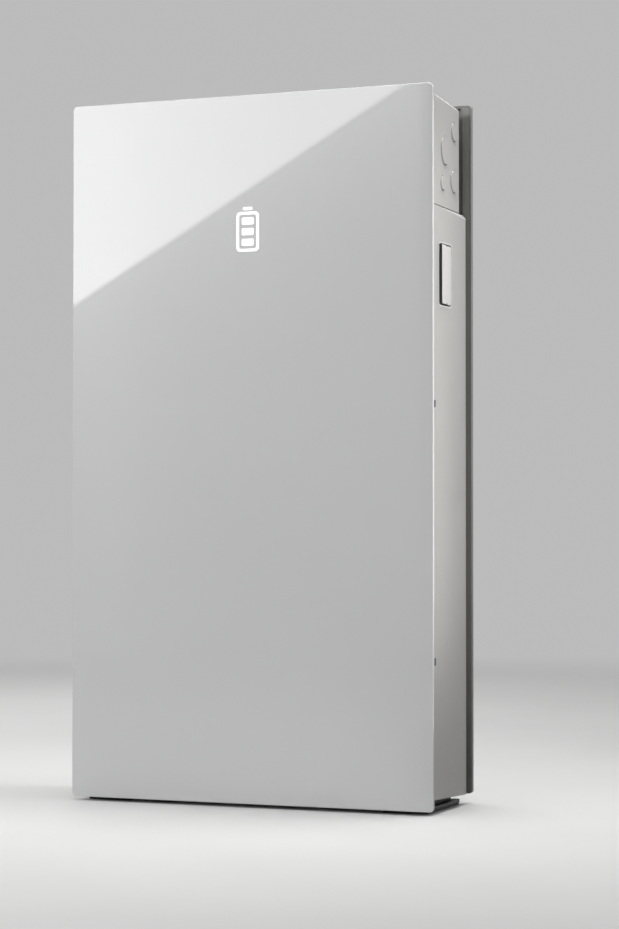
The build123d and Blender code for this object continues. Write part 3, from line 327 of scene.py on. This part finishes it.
def machined(name, colour, gloss=0.3):
    """Turned and plated metal with fine lines round it."""
    material, tree, shader = new_material(name)
    lines = noise(tree, 500.0, detail=2.0, stretch=(0.2, 4.0, 0.2))
    stain = noise(tree, 45.0, detail=4.0)
    finish_with(
        tree, shader,
        Base_Color=colours(tree, stain, (0.3, shade(colour, 0.82)), (0.7, shade(colour, 1.06))),
        Roughness=remap(tree, lines, 0.3, 0.7, gloss - 0.08, gloss + 0.12),
        Metallic=1.0,
    )
    bump(tree, shader, lines, 0.00002)
    return material


def brushed(name, colour, gloss=0.36):
    """Metal drawn or rolled along Z, with long scratches and a patchy sheen."""
    material, tree, shader = new_material(name)
    lines = noise(tree, 1500.0, detail=3.0, stretch=(1.0, 1.0, 0.02))
    patches = noise(tree, 12.0, detail=4.0)
    finish_with(
        tree, shader,
        Base_Color=colours(tree, patches, (0.3, shade(colour, 0.90)), (0.7, shade(colour, 1.05))),
        Roughness=remap(tree, lines, 0.3, 0.7, gloss - 0.08, gloss + 0.10),
        Metallic=1.0,
    )
    bump(tree, shader, lines, 0.00003)
    return material


def cast_paint():
    """Thick black paint over a sandy casting."""
    material, tree, shader = new_material("cast_paint")
    sand = noise(tree, 480.0, detail=5.0, roughness=0.7)
    finish_with(
        tree, shader,
        Base_Color=colours(tree, sand, (0.3, (0.016, 0.016, 0.017)), (0.7, (0.034, 0.034, 0.036))),
        Roughness=remap(tree, sand, 0.3, 0.7, 0.38, 0.55),
    )
    bump(tree, shader, sand, 0.00025)
    return material


def cell_film():
    """Blue insulating film shrunk over a cell's can, finely creased, and bare metal terminals in front."""
    material, tree, shader = new_material("cell_film")
    creases = noise(tree, 120.0, detail=5.0, roughness=0.65, stretch=(0.25, 0.25, 1.6))
    worn = remap(tree, creases, 0.62, 0.75)
    front = remap(tree, part_of(tree, 1), CELL_FRONT - 0.0008, CELL_FRONT - 0.0004)
    film = colours(tree, creases, (0.3, (0.020, 0.085, 0.30)), (0.7, (0.035, 0.130, 0.40)))
    film = mix(tree, maths(tree, "MULTIPLY", worn, 0.3), film, (0.12, 0.25, 0.52))
    finish_with(
        tree, shader,
        Base_Color=mix(tree, front, (0.62, 0.63, 0.64), film),
        Metallic=remap(tree, front, 0.0, 1.0, 1.0, 0.0),
        Roughness=remap(tree, creases, 0.3, 0.7, 0.24, 0.42),
    )
    bump(tree, shader, creases, 0.0002)
    return material


def circuit_board(name, face):
    """A green board with tracks and pads under its mask. Anything off the board's plane is black resin."""
    material, tree, shader = new_material(name)
    coordinates = place(tree)
    upright = add(tree, "ShaderNodeMapping", {"Vector": coordinates, "Rotation": (1.5708, 0, 0)})
    bricks = {
        "Vector": upright.outputs[0], "Scale": 60.0, "Mortar Size": 0.035, "Mortar Smooth": 0.1,
        "Brick Width": 0.9, "Row Height": 0.18,
    }
    tracks = add(tree, "ShaderNodeTexBrick", bricks).outputs["Fac"]
    pads = add(tree, "ShaderNodeTexVoronoi", {"Vector": coordinates, "Scale": 260.0, "Randomness": 0.35})
    dots = remap(tree, pads.outputs["Distance"], 0.2, 0.16)
    mask = colours(tree, noise(tree, 40.0), (0.3, (0.006, 0.050, 0.022)), (0.7, (0.010, 0.072, 0.032)))
    board = mix(tree, tracks, mask, (0.020, 0.120, 0.055))
    board = mix(tree, maths(tree, "MULTIPLY", dots, 0.8), board, (0.45, 0.43, 0.36))
    distance = maths(tree, "ABSOLUTE", maths(tree, "SUBTRACT", part_of(tree, 1), face))
    off = maths(tree, "GREATER_THAN", distance, BOARD_REACH)
    resin = colours(tree, noise(tree, 600.0), (0.3, (0.012, 0.012, 0.013)), (0.7, (0.028, 0.028, 0.030)))
    finish_with(
        tree, shader,
        Base_Color=mix(tree, off, board, resin),
        Roughness=remap(tree, off, 0.0, 1.0, 0.32, 0.52),
    )
    bump(tree, shader, maths(tree, "ADD", tracks, dots), 0.00003)
    return material


def winding():
    """Enamelled copper wire, side by side, over a painted core."""
    material, tree, shader = new_material("winding")
    strands = add(
        tree, "ShaderNodeTexWave", {"Vector": place(tree), "Scale": 90.0, "Distortion": 1.2, "Detail": 1.0},
        bands_direction="DIAGONAL",
    ).outputs["Fac"]
    finish_with(
        tree, shader,
        Base_Color=colours(tree, strands, (0.2, (0.20, 0.055, 0.018)), (0.8, (0.52, 0.19, 0.07))),
        Roughness=remap(tree, strands, 0.0, 1.0, 0.45, 0.22),
        Metallic=0.6,
    )
    bump(tree, shader, strands, 0.0004)
    return material


def cable_jacket(name, colour):
    """A smooth cable jacket with a faint twist of the strands beneath it."""
    material, tree, shader = new_material(name)
    twist = add(
        tree, "ShaderNodeTexWave", {"Vector": place(tree, (1, 1, 0.4)), "Scale": 120.0, "Distortion": 0.4},
        bands_direction="DIAGONAL",
    ).outputs["Fac"]
    scuff = noise(tree, 150.0, detail=4.0)
    finish_with(
        tree, shader,
        Base_Color=colours(tree, scuff, (0.35, colour), (0.75, shade(colour, 1.25))),
        Roughness=remap(tree, scuff, 0.3, 0.7, 0.36, 0.52),
    )
    bump(tree, shader, twist, 0.0001)
    return material


def woven_blanket():
    """Pale insulating fibre, pressed flat."""
    material, tree, shader = new_material("woven_blanket")
    fibres = noise(tree, 420.0, detail=6.0, roughness=0.75, stretch=(1.0, 1.0, 0.3))
    finish_with(
        tree, shader,
        Base_Color=colours(tree, fibres, (0.3, (0.58, 0.56, 0.51)), (0.7, (0.76, 0.74, 0.69))),
        Roughness=0.92,
        Sheen_Weight=0.25,
    )
    bump(tree, shader, fibres, 0.0003)
    return material


def fuse_ceramic():
    """An unglazed ceramic body between two plated end caps."""
    material, tree, shader = new_material("fuse_ceramic")
    speckle = noise(tree, 500.0, detail=4.0)
    z = part_of(tree, 2)
    low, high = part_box("main_fuse")
    below = maths(tree, "LESS_THAN", z, low.z + FUSE_CAP)
    above = maths(tree, "GREATER_THAN", z, high.z - FUSE_CAP)
    metal = maths(tree, "ADD", below, above)
    ceramic = colours(tree, speckle, (0.3, (0.66, 0.62, 0.52)), (0.7, (0.76, 0.72, 0.62)))
    finish_with(
        tree, shader,
        Base_Color=mix(tree, metal, ceramic, (0.60, 0.58, 0.53)),
        Metallic=metal,
        Roughness=remap(tree, metal, 0.0, 1.0, 0.7, 0.34),
    )
    bump(tree, shader, speckle, 0.00006)
    return material


def board_plane(node):
    """The Y of a board's widest face."""
    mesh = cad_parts[node].data
    widest = max(mesh.polygons, key=lambda face: face.area)
    return widest.center.y


def dress():
    """Gives every CAD node its material."""
    housing = powder_coat("housing_coat", (0.535, 0.525, 0.507))
    panel = powder_coat("panel_coat", (0.215, 0.213, 0.207), gloss=0.42)
    black = moulded_plastic("black_plastic", (0.022, 0.022, 0.023))
    dark = moulded_plastic("cover_frame_plastic", (0.050, 0.050, 0.052), gloss=0.55)
    switch = moulded_plastic("switch_plastic", (0.80, 0.79, 0.775), gloss=0.34, texture=0.00002)
    seal = rubber()
    zinc = galvanised()
    steel = machined("plated_steel", (0.55, 0.55, 0.54))
    rolled = brushed("rolled_steel", (0.50, 0.50, 0.50))
    aluminium = brushed("bare_aluminium", (0.74, 0.75, 0.76))
    tray = moulded_plastic("tray_plastic", (0.090, 0.092, 0.098))
    relay = moulded_plastic("relay_plastic", (0.030, 0.040, 0.065), gloss=0.4)
    resin = moulded_plastic("module_resin", (0.040, 0.038, 0.036), gloss=0.45)
    sleeve = moulded_plastic("capacitor_sleeve", (0.016, 0.022, 0.045), gloss=0.25)
    orange = cable_jacket("orange_jacket", (0.72, 0.20, 0.015))
    dark_orange = cable_jacket("dark_orange_jacket", (0.60, 0.15, 0.012))
    groups = [
        (cover_glass(), ["front_glass"]),
        (enamel(), ["front_emblem"]),
        (housing, ["battery_housing", "wiring_housing", "battery_lid", "wiring_lid"]),
        (panel, ["rear_panel"]),
        (dark, ["cover_carrier", "cover_studs", "cover_catches"]),
        (seal, [
            "cover_grommets", "wiring_lid_gasket", "battery_lid_gasket", "housing_gasket", "foot_pads",
        ]),
        (zinc, ["wall_bracket", "terminal_rail", "rear_spacers"]),
        (steel, [
            "lid_screws", "shoulder_screws", "rear_panel_screws", "switch_pivot_pin", "blower_motors",
        ]),
        (rolled, ["stack_straps"]),
        (cast_paint(), ["feet"]),
        (black, [
            "vent_valve", "channel_grilles", "blower_left_impeller", "blower_right_impeller",
            "blower_housings", "aerial", "switch_contact_block",
        ]),
        (tray, ["junction_tray", "terminal_blocks"]),
        (relay, ["grid_relays", "main_contactors"]),
        (resin, ["power_modules", "current_sensor"]),
        (moulded_plastic("connector_plastic", (0.28, 0.28, 0.27)), ["bulkhead_connector"]),
        (moulded_plastic("nylon", (0.62, 0.60, 0.53)), ["board_posts"]),
        (switch, ["switch_bezel", "switch_plunger"]),
        (rocker_plastic(), ["switch_rocker"]),
        (cell_film(), ["cells_left", "cells_right"]),
        (woven_blanket(), ["cell_spacers"]),
        (aluminium, ["stack_end_plates", "thermal_plate", "heat_sink"]),
        (brushed("copper_bar", (0.78, 0.40, 0.24), gloss=0.3), ["busbars"]),
        (brushed("brass_bar", (0.72, 0.55, 0.26), gloss=0.3), ["ground_bar"]),
        (fuse_ceramic(), ["main_fuse"]),
        (sleeve, ["link_capacitors"]),
        (winding(), ["filter_inductors"]),
        (orange, ["dc_cable_positive"]),
        (dark_orange, ["dc_cable_negative"]),
    ]
    for node in ("cell_monitor_boards", "battery_controller", "inverter_board", "control_board"):
        groups.append((circuit_board(node, board_plane(node)), [node]))
    for material, nodes in groups:
        for node in nodes:
            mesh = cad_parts[node].data
            mesh.materials.clear()
            mesh.materials.append(material)


# Studio


def seen_in_glass(x, z):
    """The point on the card's plane that the camera sees mirrored at x, z on the glass."""
    share = 1 + CARD_DISTANCE / (GLASS_LOW.y - CAMERA.y)
    across, up = CAMERA.x + (x - CAMERA.x) * share, CAMERA.z + (z - CAMERA.z) * share
    return Vector((across, GLASS_LOW.y - CARD_DISTANCE, up))


def quad(name, corners, material):
    """A flat four-cornered mesh."""
    mesh = bpy.data.meshes.new(name)
    mesh.from_pydata([tuple(corner) for corner in corners], [], [(0, 1, 2, 3)])
    mesh.materials.append(material)
    piece = bpy.data.objects.new(name, mesh)
    bpy.context.scene.collection.objects.link(piece)
    return piece


def seen_only_by(rays, piece):
    """Hides a card from all but one kind of ray: glossy or diffuse."""
    piece.visible_camera = False
    piece.visible_diffuse = rays == "diffuse"
    piece.visible_glossy = rays == "glossy"
    piece.visible_transmission = False
    piece.visible_volume_scatter = False
    piece.visible_shadow = False


def glow(name):
    """An emission material. Returns the material, its tree and the emission node."""
    material = bpy.data.materials.new(name)
    material.use_nodes = True
    tree = material.node_tree
    tree.nodes.clear()
    emission = add(tree, "ShaderNodeEmission")
    output = add(tree, "ShaderNodeOutputMaterial")
    tree.links.new(emission.outputs[0], output.inputs["Surface"])
    return material, tree, emission


def mirror_card():
    """The light that shows in the glass: a softbox cut off on the slant, its glow and a faint stripe."""
    low = seen_in_glass(GLASS_LOW.x, SLANT_LEFT_Z)
    high = seen_in_glass(SLANT_TOP_X, GLASS_HIGH.z)
    slope = (high - low).normalized()
    right_end = seen_in_glass(GLASS_HIGH.x - RIM_WIDTH, 0).x
    box_left, box_right = seen_in_glass(GLASS_LOW.x, 0).x, seen_in_glass(BOX_LIGHT_RIGHT_X, 0).x
    material, tree, emission = glow("mirror_card")
    x, z = part_of(tree, 0), part_of(tree, 2)
    above = maths(
        tree, "SUBTRACT",
        maths(tree, "MULTIPLY", maths(tree, "SUBTRACT", z, low.z), slope.x),
        maths(tree, "MULTIPLY", maths(tree, "SUBTRACT", x, low.x), slope.z),
    )
    inside = remap(tree, above, *SLANT_BLUR)
    softbox = maths(tree, "MULTIPLY", inside, remap(tree, x, box_left, box_right, *BOX_LIGHT))
    below = maths(tree, "MAXIMUM", maths(tree, "MULTIPLY", above, -1.0), 0.0)
    halo = maths(tree, "EXPONENT", maths(tree, "MULTIPLY", below, -HALO_FALL))
    halo = maths(tree, "MULTIPLY", halo, HALO_LIGHT)
    beside = maths(tree, "SUBTRACT", x, seen_in_glass(STRIPE_X, 0).x)
    stripe = maths(tree, "MULTIPLY", maths(tree, "MULTIPLY", beside, beside), -STRIPE_SHARPNESS)
    stripe = maths(tree, "MULTIPLY", maths(tree, "EXPONENT", stripe), STRIPE_LIGHT)
    base = remap(tree, z, 0.0, BASE_TOP_Z, WORLD_LIGHT, BASE_LIGHT, smooth=True)
    total = maths(tree, "ADD", maths(tree, "ADD", softbox, maths(tree, "ADD", halo, stripe)), base)
    rim = remap(tree, x, right_end - 0.02, right_end + 0.04, 1.0, RIM_SHARE)
    tree.links.new(maths(tree, "MULTIPLY", total, rim), emission.inputs["Strength"])
    left, right = CARD_WIDTH
    outline = ((left, 0), (right, 0), (right, CARD_HEIGHT), (left, CARD_HEIGHT))
    corners = [(across, low.y, up) for across, up in outline]
    seen_only_by("glossy", quad("mirror_card", corners, material))


def edge_card():
    """A tall narrow light on the right, which draws the bright line down the glass's edge."""
    material, tree, emission = glow("edge_card")
    emission.inputs["Strength"].default_value = EDGE_LIGHT
    near, far = EDGE_CARD_PLAN
    low, high = EDGE_CARD_Z
    corners = ((*near, low), (*far, low), (*far, high), (*near, high))
    seen_only_by("glossy", quad("edge_card", corners, material))


def floor_flag():
    """A one-sided black cloth just over the floor, which keeps the floor's light off the right side."""
    material, tree, shader = new_material("floor_flag")
    from_below = add(tree, "ShaderNodeNewGeometry").outputs["Backfacing"]
    finish_with(
        tree, shader,
        Base_Color=(0.01, 0.01, 0.01),
        Roughness=0.9,
        Specular_IOR_Level=0.0,
        Alpha=maths(tree, "SUBTRACT", 1.0, from_below),
    )
    left, right = (BODY_HIGH.x + reach for reach in FLAG_REACH)
    front, back = FLAG_Y
    corners = [(x, y, FLAG_Z) for x, y in ((left, front), (right, front), (right, back), (left, back))]
    seen_only_by("diffuse", quad("floor_flag", corners, material))


def area_light(name, place_at, aim, size, watts, spread=180.0, in_gloss=False):
    """A soft rectangular light, its spread in degrees, which reflections show only if in_gloss is set."""
    data = bpy.data.lights.new(name, "AREA")
    data.shape = "RECTANGLE"
    data.size, data.size_y = size
    data.energy = watts
    data.spread = math.radians(spread)
    light = bpy.data.objects.new(name, data)
    light.location = place_at
    light.rotation_euler = (Vector(aim) - Vector(place_at)).to_track_quat("-Z", "Y").to_euler()
    light.visible_glossy = in_gloss
    light.visible_camera = False
    bpy.context.scene.collection.objects.link(light)


def studio():
    """The pale floor, the soft grey surroundings, brighter behind the unit, and the lights."""
    world = bpy.data.worlds.new("studio")
    bpy.context.scene.world = world
    world.use_nodes = True
    tree = world.node_tree
    direction = add(tree, "ShaderNodeTexCoord").outputs["Generated"]
    backwards = add(tree, "ShaderNodeSeparateXYZ", {"Vector": direction}).outputs["Y"]
    background = tree.nodes["Background"]
    background.inputs["Color"].default_value = (1.0, 1.0, 1.0, 1)
    strength = remap(tree, backwards, -0.2, 0.8, WORLD_LIGHT, BACK_WORLD_LIGHT, smooth=True)
    tree.links.new(strength, background.inputs["Strength"])

    material, tree, shader = new_material("studio_floor")
    clouds = noise(tree, 1.4, detail=5.0)
    coordinates = add(tree, "ShaderNodeTexCoord").outputs["Object"]
    away = add(tree, "ShaderNodeVectorMath", {0: coordinates}, operation="LENGTH").outputs["Value"]
    finish_with(
        tree, shader,
        Base_Color=colours(tree, clouds, (0.3, (0.66, 0.66, 0.655)), (0.7, (0.70, 0.70, 0.695))),
        Roughness=remap(tree, noise(tree, 30.0), 0.3, 0.7, 0.75, 0.85),
        Specular_IOR_Level=0.0,
        Alpha=remap(tree, away, *FLOOR_FADE, 1.0, 0.0, smooth=True),
    )
    half = FLOOR_SIZE / 2
    quad("floor", ((-half, -half, 0), (half, -half, 0), (half, half, 0), (-half, half, 0)), material)

    middle = (CAD_BOX[0] + CAD_BOX[1]) / 2
    side = Vector((BODY_HIGH.x, GLASS_LOW.y, 0.80))
    area_light("front_softbox", (-1.5, -3.9, 1.6), middle, (2.2, 1.8), 8.5, spread=70.0)
    strip = side + Vector((0.14, 0.006, -0.18))
    area_light("side_strip", strip, strip + Vector((-0.14, 0.02, 0)), (0.05, 0.80), 0.22, spread=140.0)
    area_light("back_right_softbox", (1.25, 1.9, 0.85), side, (0.8, 1.2), 3.4, in_gloss=True)
    area_light("overhead_softbox", (-0.2, -0.5, 3.4), (-0.2, -0.5, 0.0), (3.0, 2.4), 26.0, spread=110.0)
    area_light("top_softbox", (0.5, 0.1, 2.1), (BODY_HIGH.x, 0, 1.0), (0.5, 0.4), 2.4, spread=66.0)
    area_light("back_fill", (-1.6, 2.6, 2.2), middle, (2.0, 1.6), 30.0)
    area_light("left_fill", (-2.8, 0.6, 1.6), middle, (1.4, 1.4), 16.0)


def camera():
    """The camera, at its fitted place and angle."""
    data = bpy.data.cameras.new("camera")
    data.lens = LENS
    data.sensor_width = SENSOR
    piece = bpy.data.objects.new("camera", data)
    piece.location = CAMERA
    piece.rotation_euler = (math.radians(90 + CAMERA_PITCH), 0, math.radians(CAMERA_YAW))
    bpy.context.scene.collection.objects.link(piece)
    bpy.context.scene.camera = piece


bpy.context.scene.view_settings.view_transform = "Standard"
camera()
studio()
mirror_card()
edge_card()
floor_flag()
dress()
